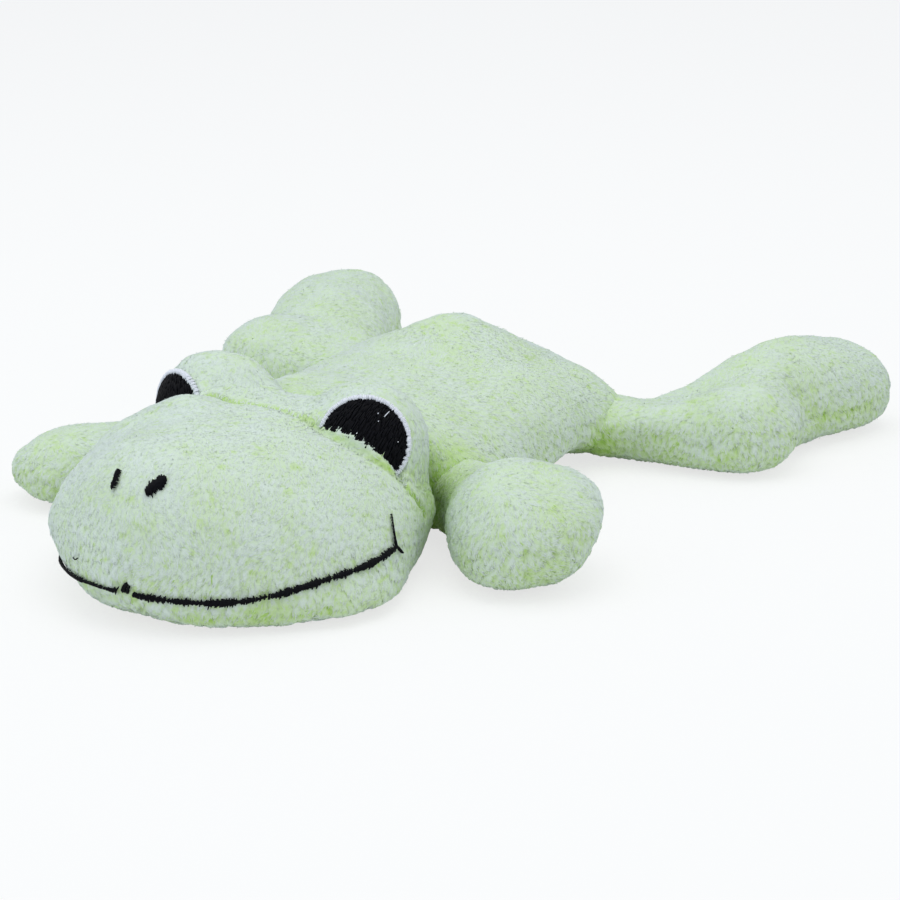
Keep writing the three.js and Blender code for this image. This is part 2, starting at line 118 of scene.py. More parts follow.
world = bpy.data.worlds.new("white surround")
bpy.context.scene.world = world
world.use_nodes = True
world.node_tree.nodes.clear()
tree = world.node_tree
soft = add_node(tree, "ShaderNodeBackground", {"Color": linear("#f0f6ff"), "Strength": 0.72})
white = add_node(tree, "ShaderNodeBackground", {"Color": (1, 1, 1, 1), "Strength": 1.0})
path = add_node(tree, "ShaderNodeLightPath")
seen = add_node(tree, "ShaderNodeMath", {
    0: path.outputs["Is Camera Ray"], 1: path.outputs["Is Glossy Ray"]}, operation="MAXIMUM")
seen = add_node(tree, "ShaderNodeMath", {
    0: seen.outputs[0], 1: path.outputs["Is Transmission Ray"]}, operation="MAXIMUM")
world_mix = add_node(tree, "ShaderNodeMixShader", {
    0: seen.outputs[0], 1: soft.outputs[0], 2: white.outputs[0]})
add_node(tree, "ShaderNodeOutputWorld", {"Surface": world_mix.outputs[0]})

for name, place, size, power, colour in (
    ("top light", (0.05, -0.06, 1.1), 1.0, 4.9, "#fbfdf6"),
    ("window light", (-0.55, -0.65, 0.75), 0.8, 0.9, "#d9e7ff"),
):
    lamp_data = bpy.data.lights.new(name, "AREA")
    lamp_data.size, lamp_data.energy, lamp_data.color = size, power, linear(colour)[:3]
    lamp = placed(name, lamp_data)
    lamp.location = place
    lamp.rotation_euler = (Vector((0, 0, 0.02)) - Vector(place)).to_track_quat("-Z", "Y").to_euler()


# Body: one sack of short pile plush, stuffed slack, with bead filling that has settled low and a
# hump where the wadding has gathered. Two panels, sewn inside out along a line round the flanks,
# turned and filled. The pile is added to this skin further down, with that of the other skins.
def swell(distance, round_length, power=2.0):
    """How far a form has swelled at a distance from its drawn-in end."""
    left = np.clip(1 - np.maximum(distance, 0) / round_length, 0, 1)
    return (1 - left ** power) ** (1 / power)


def between(shares, part):
    """A share between two neighbours of a row of shares, eased from one to the next."""
    at = np.clip(part, 0, 1) * (len(shares) - 1)
    i = np.minimum(at.astype(int), len(shares) - 2)
    f = at - i
    return np.take(shares, i) + (np.take(shares, i + 1) - np.take(shares, i)) * f * f * (3 - 2 * f)


def unit(vectors, least=1e-9):
    """Vectors brought to length 1, or less where they are shorter than least."""
    return vectors / np.maximum(np.linalg.norm(vectors, axis=-1, keepdims=True), least)


def run_of(path, steps=60):
    """Points along a smooth run through plan points, and their lengths along it."""
    p = np.array(path, float)
    p = np.vstack([2 * p[0] - p[1], p, 2 * p[-1] - p[-2]])
    points = []
    for i in range(1, len(p) - 2):
        before, here, there, after = p[i - 1:i + 3]
        d = [max(np.sum((p[k + 1] - p[k]) ** 2) ** 0.25, 1e-4) for k in (i - 1, i, i + 1)]
        t1 = ((here - before) / d[0] - (there - before) / (d[0] + d[1]) + (there - here) / d[1]) * d[1]
        t2 = ((there - here) / d[1] - (after - here) / (d[1] + d[2]) + (after - there) / d[2]) * d[1]
        f = np.linspace(0, 1, steps, endpoint=False)[:, None]
        rise = there - here
        points.append(here + t1 * f + (3 * rise - 2 * t1 - t2) * f ** 2 + (t1 + t2 - 2 * rise) * f ** 3)
    points = np.vstack(points + [p[-2:-1]])
    lengths = np.concatenate([[0], np.cumsum(np.hypot(*np.diff(points, axis=0).T))])
    return points, lengths


def chosen(*pieces):
    """Selects these pieces alone and makes the first one active."""
    bpy.ops.object.select_all(action="DESELECT")
    for piece in pieces:
        piece.select_set(True)
    bpy.context.view_layer.objects.active = pieces[0]


def faced_out():
    """Turns the active piece's faces outwards."""
    bpy.ops.object.mode_set(mode="EDIT")
    bpy.ops.mesh.select_all(action="SELECT")
    bpy.ops.mesh.normals_make_consistent(inside=False)
    bpy.ops.object.mode_set(mode="OBJECT")


def stuffed(name, path, half_width, width_shares, height, height_shares, seam, start, end, powers):
    """A ball drawn out along a run in plan into a stuffed form, in millimetres. start and end are
    the lengths over which its width, top and hem round off, and perhaps the power by which its width
    does. powers are those of the section's curve above and below the seam."""
    inset = sole = 0.4
    bpy.ops.mesh.primitive_uv_sphere_add(segments=64, ring_count=72, radius=1)
    form = bpy.context.object
    form.name = name
    ball = np.array([v.co for v in form.data.vertices])
    points, lengths = run_of(path)
    length = lengths[-1]
    stop = (1 - ball[:, 2]) / 2 * length
    part = stop / length
    turn = np.arctan2(ball[:, 1], ball[:, 0])
    inner = inset + (length - 2 * inset) * part
    centre = np.stack([np.interp(inner, lengths, points[:, k]) for k in (0, 1)], axis=1)
    behind, ahead = (
        np.stack([np.interp(stop + step, lengths, points[:, k]) for k in (0, 1)], axis=1)
        for step in (-2, 2)
    )
    tangent = unit(ahead - behind)
    width_end, top_end, hem_end = (
        swell(stop, start[k]) * swell(length - stop, end[k], *(end[3:] if k == 0 else ()))
        for k in range(3)
    )
    half = (half_width * between(width_shares, part) - inset) * width_end
    rise = (height * between(height_shares, part) - seam - inset) * top_end
    fall = (seam - sole) * hem_end
    power = np.where(np.sin(turn) > 0, *powers)
    across = np.sign(np.cos(turn)) * np.abs(np.cos(turn)) ** (2 / power)
    up_share = np.sign(np.sin(turn)) * np.abs(np.sin(turn)) ** (2 / power)
    tip = np.abs(ball[:, 2]) > 0.99999
    half, rise, fall = (np.where(tip, 0, v) for v in (half, rise, fall))
    place = np.stack([
        centre[:, 0] + tangent[:, 1] * across * half,
        centre[:, 1] - tangent[:, 0] * across * half,
        seam + up_share * np.where(up_share > 0, rise, fall),
    ], axis=1)
    form.data.vertices.foreach_set("co", (place / 1000).astype(np.float32).ravel())
    faced_out()
    return form


def places(skin):
    """The skin's points and outward normals, in millimetres."""
    count = len(skin.data.vertices)
    co, normal = np.empty(count * 3, np.float32), np.empty(count * 3, np.float32)
    skin.data.vertices.foreach_get("co", co)
    skin.data.vertex_normals.foreach_get("vector", normal)
    return co.reshape(-1, 3).astype(float) * 1000, normal.reshape(-1, 3).astype(float)


def moved(skin, co, floor_gap=0.3):
    """Sets the skin's points from millimetres, none of them below the floor."""
    co[:, 2] = np.maximum(co[:, 2], floor_gap)
    skin.data.vertices.foreach_set("co", (co / 1000).astype(np.float32).ravel())
    skin.data.update()


def remeshed(piece, name, size):
    """Gives the active piece a mesh of even squares about size wide."""
    remesh = piece.modifiers.new(name, "REMESH")
    remesh.mode, remesh.voxel_size = "VOXEL", size / 1000
    bpy.ops.object.modifier_apply(modifier=remesh.name)


def sewn_up(forms, seam):
    """Forms joined into one skin, blown up by cloth simulation with the seam held, and refined.
    No point of it goes further than cap, so that the form keeps its size."""
    skin, cap, seam_half, last = forms[0], 1.1, 2.4, 20
    chosen(*forms)
    if len(forms) > 1:
        bpy.ops.object.join()
    remeshed(skin, "even cloth", 4.2)
    ease = skin.modifiers.new("ease", "SMOOTH")
    ease.factor, ease.iterations = 0.5, 3
    bpy.ops.object.modifier_apply(modifier=ease.name)
    before, _ = places(skin)
    held = skin.vertex_groups.new(name="held")
    held.add(np.nonzero(np.abs(before[:, 2] - seam) < seam_half)[0].tolist(), 1.0, "REPLACE")
    cloth = skin.modifiers.new("filling", "CLOTH")
    cloth.settings.quality = 5
    cloth.settings.mass = 0.15
    cloth.settings.use_pressure = True
    cloth.settings.uniform_pressure_force = 4.0
    cloth.settings.effector_weights.gravity = 0
    cloth.settings.vertex_group_mass = "held"
    cloth.collision_settings.use_collision = False
    cloth.point_cache.frame_start, cloth.point_cache.frame_end = 1, last
    for frame_number in range(1, last + 1):
        bpy.context.scene.frame_set(frame_number)
    bpy.ops.object.modifier_apply(modifier=cloth.name)
    bpy.context.scene.frame_set(1)
    after, _ = places(skin)
    shift = after - before
    far = np.linalg.norm(shift, axis=1, keepdims=True)
    moved(skin, before + shift * np.minimum(1, cap / np.maximum(far, 1e-6)))
    skin.vertex_groups.clear()
    finer = skin.modifiers.new("finer", "SUBSURF")
    finer.levels = finer.render_levels = 2
    bpy.ops.object.modifier_apply(modifier=finer.name)
    bpy.ops.object.shade_smooth()
    return skin


def waves(co, length, seed, octaves=2):
    """Smooth lumps from about -1 to 1 and about length across, the same on every run."""
    draw = np.random.default_rng(seed)
    total, weight = np.zeros(len(co)), 0
    for octave in range(octaves):
        for _ in range(5):
            way = draw.normal(size=3)
            way *= 2 * math.pi / (length / 2 ** octave) / np.linalg.norm(way) * draw.uniform(0.7, 1.3)
            total += np.sin(co @ way + draw.uniform(0, 2 * math.pi)) / 2 ** octave
        weight += 2.2 / 2 ** octave
    return total / weight


def lumps(co, normal, length, seed, height, fade_height, start):
    """Lumps of filling under the cloth, that fade out towards the floor."""
    fade = np.clip(co[:, 2] / fade_height - start, 0, 1)
    co += normal * (waves(co, length, seed) * height * fade)[:, None]


def hemmed(co, normal, height, width):
    """The slight line that a seam draws round a form at one height."""
    edge = np.exp(-((co[:, 2] - height) / width) ** 2)
    co -= normal * (edge * 0.25)[:, None]


def pushed(co, pushes):
    """Points near a centre moved, less and less towards the edge of a soft spot. Each push is the
    spot's centre, its size and the move of its middle."""
    for centre, size, move in pushes:
        far = (((co - np.array(centre)) / np.array(size)) ** 2).sum(axis=1)
        co += np.exp(-far)[:, None] * np.array(move, float)


def tree_of(points):
    """A tree in which the nearest of the points to a place is found."""
    tree = KDTree(len(points))
    for index, point in enumerate(points):
        tree.insert(point, index)
    tree.balance()
    return tree


def how_far(points, targets):
    """How far each point is from the nearest of the targets."""
    near = tree_of(targets)
    return np.array([near.find(point)[2] for point in points])


def drawn_in(co, normal, line, width, depth):
    """A groove along a line of points, as a sewn seam or a crease leaves it."""
    co -= normal * (np.exp(-(how_far(co, line) / width) ** 2) * depth)[:, None]


def laid_on(co, line):
    """The skin's own points nearest to a line's."""
    skin_points = tree_of(co)
    return np.array([skin_points.find(point)[0] for point in line])


def line_of(points):
    """Points about a millimetre apart along straight pieces from one point to the next."""
    points = np.array(points, float)
    rows = []
    for a, b in zip(points[:-1], points[1:]):
        count = max(int(np.linalg.norm(b - a)), 1)
        rows.append(a + (b - a) * np.linspace(0, 1, count, endpoint=False)[:, None])
    return np.vstack(rows + [points[-1:]])


flank_seam = 16
body = stuffed(
    "body_plush", [(0, -50), (0, 21), (0, 92)], 50, [0.84, 0.96, 1, 1, 1, 1, 1.03, 1],
    46, [1, 0.97, 0.95, 0.95, 0.96, 0.94, 0.87, 0.74], flank_seam,
    (24, 8, 8), (34, 38, 28), (2.2, 3.4),
)
sewn_up([body], flank_seam)
co, normal = places(body)
pushed(co, (
    ((2, 42, 44), (18, 17, 14), (0, 0, 6.5)),
    ((30, 60, 38), (14, 18, 16), (0, 0, -3.0)),
    ((-8, 46, 42), (12, 16, 12), (0, 0, 1.2)),
    ((-24, 66, 36), (15, 18, 16), (0, 0, -1.5)),
    ((24, 8, 42), (16, 18, 14), (0, 0, -1.4)),
    ((40, -14, 30), (14, 12, 14), (-1.5, 0, -1)),
))
lumps(co, normal, length=44, seed=11, height=0.9, fade_height=12, start=0.4)
hemmed(co, normal, flank_seam + waves(co, 70, 12), width=1.6)
pushed(co, [((50, 42, 2), (14, 18, 8), (-2, 2, 3))])
moved(body, co)

# Head: a flat, wide muzzle panel, a chin panel under it and a crown panel with two stuffed domes
# for the eyes, all of the same plush. It is stuffed more tightly than the body and sewn on open,
# so that filling runs on through the neck.
eye_domes, eye_frames, dome_radius = [], {}, 19.9
pupil_radius, rim_inner, rim_outer, eye_clear = 12.4, 12.05, 14.7, 15.2
# An eye's frame: its dome's centre, its own middle, the way it faces, and its ways across and up.
for side, word in ((1, "left"), (-1, "right")):
    dome = np.array([28.1, -56.1, 36.6] if side > 0 else [-26.9, -56.1, 38.8])
    eye = np.array([34.3, -68.5, 40.8] if side > 0 else [-32.7, -69.0, 39.6])
    facing = unit(eye - dome)
    chord = np.array([side * 0.829, 0.245, -0.498])
    chord = unit(chord - facing * (chord @ facing))
    eye_frames[word] = (dome, eye, facing, chord, np.cross(facing, chord) * side)
    bpy.ops.mesh.primitive_uv_sphere_add(
        segments=40, ring_count=24, radius=(dome_radius - 0.3) / 1000, location=dome / 1000)
    bpy.ops.object.transform_apply()
    eye_domes.append(bpy.context.object)
head = stuffed(
    "head_plush", [(0, -44), (0, -96), (0, -148.5)], 57.5, [1, 1], 50,
    [0.95, 0.96, 0.98, 1, 1, 1, 0.98, 0.96], 15, (28, 8, 14), (61, 24, 24, 1.75), (1.85, 7),
)
sewn_up([head] + eye_domes, seam=9)
co, normal = places(head)
pushed(co, (
    ((-38, -121, 4), (15, 16, 12), (6.5, 9, 0)),
    ((54, -69, 5), (12, 9, 13), (-3.5, 0.5, 0)),
    ((42, -53, 17), (10, 8, 9), (6, 2, 0)),
    ((-28, -83, 48), (11, 8, 10), (0, 0, 2.6)),
    ((-47, -57, 38), (8, 12, 11), (-2.4, 0, 0.6)),
    ((-42, -128, 20), (14, 14, 13), (-1.6, -0.6, 0)),
    ((54, -96, 3), (13, 16, 11), (4.5, -2.5, 0)),
    ((45, -112, 2), (22, 22, 11), (3.5, -3.5, 0)),
    ((8, -136, 2), (24, 14, 9), (0, -3.5, 0)),
    ((-42, -86, 34), (17, 13, 16), (-0.5, -1, 4.5)),
    ((-19, -82, 48), (8, 9, 10), (0, 0, 3.3)),
    ((-22, -136, 2), (12, 10, 7), (2, 3.5, 1)),
    ((-40, -126, 14), (12, 12, 9), (-1.7, -1, 0)),
))
lumps(co, normal, length=40, seed=13, height=0.7, fade_height=12, start=0.4)


def eye_foot(across):
    """How high the pile of the muzzle's edge covers an eye, across from its middle."""
    corner, middle, half = -3.0, 3.3, 13.5
    return corner + middle * np.clip(1 - (across / half) ** 2, 0, 1)


def from_eye(points, eye_frame):
    """How far points lie across, up and in front of an eye's middle, and how far from its dome's."""
    dome, eye, facing, chord, upward = eye_frame
    away, middle = points - dome, eye - dome
    far, front = np.linalg.norm(away, axis=1), away @ facing
    flat = away * (np.linalg.norm(middle) / np.maximum(front, 1e-3))[:, None] - middle
    return flat @ chord, flat @ upward, front, far


for eye_frame in eye_frames.values():
    across, high, front, far = from_eye(co, eye_frame)
    dome = eye_frame[0]
    outward = (co - dome) / far[:, None]
    inside = (front > 5) & (np.hypot(across, high) < eye_clear - 0.1) & (far < 27)
    brow = eye_foot(across)
    patch = inside & (high > brow)
    co[patch] = dome + outward[patch] * (dome_radius - 0.35)
    ridge = inside & (high <= brow) & (high > brow - 3.2)
    raised = np.maximum(far, dome_radius + 0.9 * np.clip(1 - (across / 14.6) ** 2, 0, 1)) - far
    co += outward * (ridge * raised)[:, None]

# The head's seams, with their width, depth and how much greener they are painted, the roots' green
# together with painted shade in the groove: the muzzle's edge under the eyes, the chin's, two darts
# beside it and the middle seam. The halves are mirrored.
brow_half = [
    (0, -71.5, 47.5), (9, -72, 47.2), (17, -73, 46.8), (21, -74.7, 46), (25, -76.3, 45), (30, -77, 43.8),
    (34, -76.4, 42.3), (37.4, -75.6, 40.6), (40.4, -74.8, 38.9), (43, -73.4, 37.4), (45.2, -72.2, 35.5),
    (47.2, -70.8, 33), (49.2, -69.9, 30.5), (51.2, -68.7, 27.9), (53, -66, 24), (54, -63, 20),
]
chin_half = [
    (18.3, -142.7, 5.8), (28.8, -137.8, 5.6), (37.9, -130.9, 5.3), (44.5, -125.5, 5.0), (51.9, -117.3, 5.8)]
dart_half = [(38.2, -130.0, 13.0), (39.1, -130.4, 9.6), (39.4, -130.1, 5.3)]
middle_line = [(0.5, -148, 14), (4.8, -147.3, 13), (5.7, -146.3, 9.5), (6.9, -144.9, 5.5)]
seam_reach = 1.9
both = (1, -1)
head_seams = [
    ([(x * side, y, z) for x, y, z in half], width, depth, green)
    for half, width, depth, green in (
        (brow_half, 1.2, 1.7, 1.0), (chin_half, 1.8, 0.8, 0.25), (dart_half, 1.3, 0.6, 0.25))
    for side in both
]
parted_with_painted_shade = {"head": []}
for points, width, depth, green in head_seams + [(middle_line, 1.4, 0.9, 0.3)]:
    line = laid_on(co, line_of(points))
    drawn_in(co, normal, line, width, depth)
    parted_with_painted_shade["head"].append((line, green, seam_reach))
moved(head, co)

# Arms: each a short drawn-in root and a round hand of the same plush, cut in one, sewn inside out
# and turned, then filled with beads low down and wadding above, and sewn on at the shoulder. The
# left one is puffed up, the right one has slumped flat.
skins = {"body": body, "head": head}
turn = math.radians(35.5)
for side, word, length, height, shares, hem in (
    (1, "left", 63.5, 37, [0.7, 0.7, 0.82, 0.95, 1, 1, 0.97], 2.7),
    (-1, "right", 67, 25, [1, 1, 1, 1, 1, 1, 0.97], 3.2),
):
    reach = np.array([side * math.cos(turn), -math.sin(turn)])
    shoulder = np.array([side * 49.5, -30.0])
    seam = height * 0.42
    arm = stuffed(
        "arm_plush_" + word, [shoulder + reach * s for s in (-12, length / 2, length)],
        22.5, [0.56, 0.54, 0.7, 0.92, 1, 1, 1], height, shares, seam,
        (11, 11, 11), (28, 28, 22), (2.1, hem),
    )
    sewn_up([arm], seam)
    co, normal = places(arm)
    if side > 0:
        pushed(co, (
            ((83, -72, 3), (15, 13, 12), (-1, -4.5, 0)),
            ((70, -62, 10), (9, 9, 10), (-1.6, -1.0, 0)),
            ((96, -36, 5), (14, 17, 11), (-5.5, -3, 0)),
            ((103, -46, 22), (12, 15, 12), (2, 0, 0)),
            ((90, -30, 20), (16, 13, 14), (4, 5, 3)),
            ((104, -82, 4), (16, 14, 11), (-3, 3.5, 0)),
        ))
    lumps(co, normal, length=30, seed=15 + side, height=0.6, fade_height=10, start=0.3)
    hemmed(co, normal, seam, width=1.5)
    moved(arm, co)
    skins["arm_" + word] = arm

# Legs: each goes out from the hip to a heel lobe and turns back along the floor to a long foot,
# cut in one with it from the same plush, sewn inside out and turned. Beads fill the foot, the heel
# is slack, and the left one shows a fold where the two meet and the seam that runs on to the toes.
heel_path = [(-0.18, 0), (0.25, 0.03), (0.67, 0.58), (1, 1)]
foot_path = [(0.1, 0), (0.52, 0.22), (0.8, 0.49), (0.96, 0.76), (1, 1.006)]
hip_x, hip_y, foot_length, sole_seam = 50, 69, 90, 13
for side, word, reach, sweep, half, heel_height, foot_reach, foot_half in (
    (1, "left", 60, 17, 19, 31, 50, 19), (-1, "right", 61, 5, 23, 33.3, 55.5, 23),
):
    leg = stuffed(
        "leg_plush_" + word, [(side * (hip_x + reach * x), hip_y + sweep * y) for x, y in heel_path],
        half, [0.8, 0.76, 0.7, 0.8, 0.97, 1, 0.95],
        heel_height, [0.70, 0.72, 0.76, 0.84, 0.95, 1, 0.95], sole_seam,
        (11, 11, 11), (22, 22, 16), (2.2, 3.2),
    )
    foot = stuffed(
        "foot", [(side * (hip_x + foot_reach * x), hip_y + foot_length * y) for x, y in foot_path],
        foot_half, [0.5, 0.76, 0.97, 1, 1, 1], 34, [0.66, 0.84, 0.96, 1, 0.98, 0.96], sole_seam,
        (11, 11, 11), (21, 22, 16), (2.2, 3.2),
    )
    sewn_up([leg, foot], sole_seam)
    co, normal = places(leg)
    pushed(co, (
        ((60, 53, 3), (20, 10, 9), (0, 3.5, 3)),
        ((116, 150, 14), (12, 14, 14), (2, 1.5, 0)),
        ((102, 97, 8), (9, 7, 12), (3.5, 0, 0)),
        ((105, 118, 8), (8, 10, 14), (-2.5, 0, 0)),
        ((94, 96, 27), (9, 9, 8), (0, 0, 2.5)),
        ((68, 80, 27), (13, 15, 12), (0, 0, -4.0)),
        ((84, 122, 32), (13, 17, 10), (0, 0, 3.6)),
    ) if side > 0 else (
        ((-82, 140, 18), (12, 24, 22), (-2.0, 0, 0)),
        ((-66, 128, 20), (10, 20, 14), (-2, 0, 0)),
        ((-112, 88, 18), (12, 18, 13), (-3.5, 0, 2)),
        ((-112, 70, 18), (14, 16, 13), (-2, -0.8, 1.6)),
        ((-121, 116, 26), (12, 18, 12), (-2.2, 0, 1.5)),
    ))
    lumps(co, normal, length=34, seed=18 + side, height=0.7, fade_height=10, start=0.3)
    hemmed(co, normal, sole_seam - 0.5, width=1.5)
    if side > 0:
        fold = laid_on(co, line_of([
            (99, 98, 27), (102, 99, 24), (104.4, 101.6, 20), (106, 101.1, 13.3), (106, 97.2, 6)]))
        seam_line = laid_on(co, line_of([
            (106, 101.1, 13.3), (108.7, 113.9, 12.1), (112.3, 122.8, 12.1), (116, 131.8, 12.1)]))
        drawn_in(co, normal, fold, width=2.6, depth=1.3)
        drawn_in(co, normal, seam_line, width=1.3, depth=0.7)
        # The fold and the seam are painted greener, the roots' green together with painted shade in their
        # grooves.
        parted_with_painted_shade["leg_left"] = [(fold, 0.2, 2.2), (seam_line, 0.25, seam_reach)]
    moved(leg, co)
    skins["leg_" + word] = leg

# Armpits and neck: there the pile is pressed apart between head, arm and body, and it is painted
# greener and darker, the roots' green together with painted shade. Each place has its centres, how
# much green is painted there, and how far out that fades.
parted_with_painted_shade["body"] = [(np.array([(46.0 * side, -40.0, 14.0) for side in both]), 0.45, 26)]
parted_with_painted_shade["head"].append((np.array([(54.0 * side, -56.0, 24.0) for side in both]), 0.3, 20))
for side, word in zip(both, ("arm_left", "arm_right")):
    parted_with_painted_shade[word] = [(np.array([(50.0 * side, -46.0, 12.0)]), 0.45, 24)]

# Joins: head, arms and legs are sewn to the body with a hidden hand stitch, through open ends that
# let the filling run on. It swells both skins there into one soft saddle, here pushed out along
# their normals by the more, the nearer the other skin is.
for word, reach in (("head", 13), ("arm_left", 11), ("arm_right", 11), ("leg_left", 14), ("leg_right", 14)):
    pair = [(skin, *places(skin)) for skin in (body, skins[word])]
    trees = []
    for skin, co, _ in pair:
        trees.append((co.min(axis=0) - reach, co.max(axis=0) + reach, tree_of(co)))
    for (skin, co, normal), (low, high, tree) in zip(pair, reversed(trees)):
        for index in np.nonzero(np.all((co > low) & (co < high), axis=1))[0]:
            share = max(1 - tree.find(co[index])[2] / reach, 0) ** 2
            less_on_top = 1 - 0.55 * max(normal[index][2], 0)
            co[index] += normal[index] * share * reach / 4 * less_on_top
        moved(skin, co)

# Eyes: flat embroidery in shiny polyester thread on the front of each dome. Round the curved side of
# a black half disc of short stitches runs a ring of white satin stitch, sewn over its edge and a
# little ragged inside. A few short white threads lie over the left eye's black.
def satin(name, code, dark, gloss, sheen):
    """Polyester embroidery thread in satin stitch: smooth, with a soft shine along its length, and a
    little darker where it dips, which is painted shade. Its filaments are too fine to show, so its
    grain is drawn as wide as the stitches lie apart, 0.4 mm or 2600 to a metre."""
    material = new_material(name)
    tree = material.node_tree
    where = add_node(tree, "ShaderNodeTexCoord")
    fine = add_node(tree, "ShaderNodeTexNoise", {
        "Vector": where.outputs["Object"], "Scale": 2600.0, "Detail": 2.0})
    ramp = add_node(tree, "ShaderNodeValToRGB", {0: fine.outputs[0]})
    for stop, at, colour in zip(ramp.color_ramp.elements, (0.3, 0.7), (dark, code)):
        stop.position, stop.color = at, linear(colour)
    bump = add_node(tree, "ShaderNodeBump", {
        "Strength": 0.25, "Distance": 0.0002, "Height": fine.outputs[0]})
    shader = add_node(tree, "ShaderNodeBsdfPrincipled", {
        "Base Color": ramp.outputs[0], "Roughness": 0.55, "Specular IOR Level": gloss,
        "Sheen Weight": sheen, "Sheen Roughness": 0.4, "Normal": bump.outputs[0]})
    add_node(tree, "ShaderNodeOutputMaterial", {"Surface": shader.outputs[0]})
    return material


def threads(name, stitches, material, patch=()):
    """Stitches as rows of (start, middle, end, out, thickness), each a thin round thread that dives
    in at both ends, made as one piece, over a closed patch of (top, bottom) grids where one is given."""
    ring = 5
    rows = (
        (0.0, 0.55, -0.35), (0.14, 1.0, 0.0), (0.5, 1.05, 0.12), (0.86, 1.0, 0.0), (1.0, 0.55, -0.35))
    points, faces = [], []
    for start, middle, end, out, thick in stitches:
        base = len(points)
        side = unit(np.cross(out, unit(end - start)))
        handle = 2 * middle - (start + end) / 2
        for t, swelled, lift in rows:
            centre = (1 - t) ** 2 * start + 2 * t * (1 - t) * handle + t ** 2 * end
            centre = centre + out * lift * thick * 2
            for k in range(ring):
                angle = 2 * math.pi * k / ring
                points.append(centre + (side * math.cos(angle) + out * math.sin(angle)) * thick * swelled)
        for level in range(len(rows) - 1):
            for k in range(ring):
                a, b = base + level * ring + k, base + level * ring + (k + 1) % ring
                faces.append((a, b, b + ring, a + ring))
        faces.append(tuple(base + k for k in reversed(range(ring))))
        faces.append(tuple(base + (len(rows) - 1) * ring + k for k in range(ring)))
    if len(patch):
        top, bottom = patch
        base, under = len(points), len(points) + top.size // 3
        points.extend(top.reshape(-1, 3))
        points.extend(bottom.reshape(-1, 3))
        at = np.arange(top.size // 3).reshape(top.shape[:2])
        squares = np.stack([at[:-1, :-1], at[:-1, 1:], at[1:, 1:], at[1:, :-1]], axis=2)
        for square in squares.reshape(-1, 4).tolist():
            faces.append(tuple(base + v for v in square))
            faces.append(tuple(under + v for v in reversed(square)))
        border = np.concatenate([at[0], at[1:, -1], at[-1, -2::-1], at[-2:0:-1, 0]]).tolist()
        for a, b in zip(border, border[1:] + border[:1]):
            faces.append((base + b, base + a, under + a, under + b))
    mesh = bpy.data.meshes.new(name)
    mesh.from_pydata((np.array(points) / 1000).tolist(), [], faces)
    piece = placed(name, mesh)
    chosen(piece)
    faced_out()
    bpy.ops.object.shade_smooth()
    mesh.materials.append(material)
    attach(piece, "head")
    return piece


black_satin = satin("black satin thread", "#0e0f16", "#040406", 0.08, 0.0)
white_satin = satin("white satin thread", "#f6f7fc", "#dde1ec", 0.3, 0.2)
head_tree = BVHTree.FromObject(head, bpy.context.evaluated_depsgraph_get())

# The places on the head where stitches lie, and those of the ridge of pile under each eye.
stitched, ridges = [], []


def on_head(origin, way, lift=0.0):
    """The place where a ray meets the head's skin, in millimetres, lifted off it, and its normal."""
    hit, normal, _, _ = head_tree.ray_cast(Vector(origin) / 1000, Vector(way))
    if hit is None:
        hit, normal, _, _ = head_tree.find_nearest(Vector(origin) / 1000)
    return np.array(hit) * 1000 + np.array(normal) * lift, np.array(normal)


